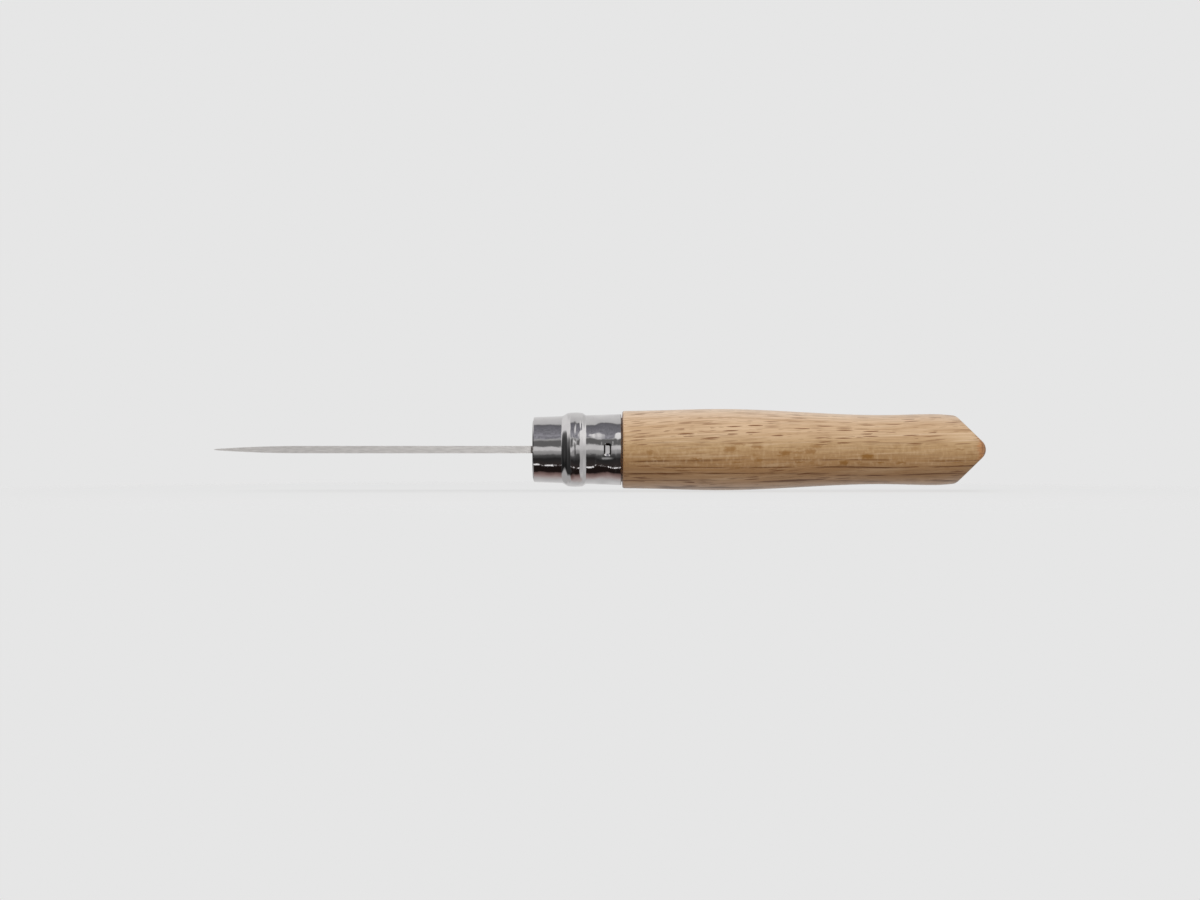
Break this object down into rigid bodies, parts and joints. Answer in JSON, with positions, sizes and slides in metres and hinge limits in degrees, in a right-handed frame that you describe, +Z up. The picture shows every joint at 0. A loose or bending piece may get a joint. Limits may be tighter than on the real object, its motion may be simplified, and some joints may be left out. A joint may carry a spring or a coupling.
{
  "type": "folding knife",
  "caption": "Folding pocket knife with a one-piece beech handle, a blade that folds on a rivet into a saw-cut slot, and a turning steel lock ring on a fixed collar.",
  "frame": {"origin": "under the middle of the open knife's box, on the surface that the knife lies on", "axes": "+X from point to butt along the collar axis, +Y from the blade's back to its edge, +Z up across the handle"},
  "size_m": [0.194, 0.0238, 0.0203],
  "materials": {
    "beech": "thin clear varnish over fine-sanded beech",
    "collar_steel": "satin stainless steel",
    "ring_steel": "polished stainless steel",
    "blade_steel": "fine-ground stainless steel",
    "rivet_steel": "satin steel"
  },
  "bodies": {
    "handle": {"handle": "beech", "fixed_collar": "collar_steel", "pivot_rivet": "rivet_steel"},
    "blade": {"blade": "blade_steel"},
    "lock_ring": {"lock_ring": "ring_steel"}
  },
  "joints": [
    {"name": "blade_fold", "type": "hinge", "parent": "handle", "child": "blade", "pos_m": [-0.00675, 0.0007, 0.01015], "axis": [0, 0, -1], "range_deg": [0, 179]},
    {"name": "ring_turn", "type": "hinge", "parent": "handle", "child": "lock_ring", "pos_m": [-0.00675, -0.0007, 0.01015], "axis": [1, 0, 0], "range_deg": [0, 50]}
  ]
}
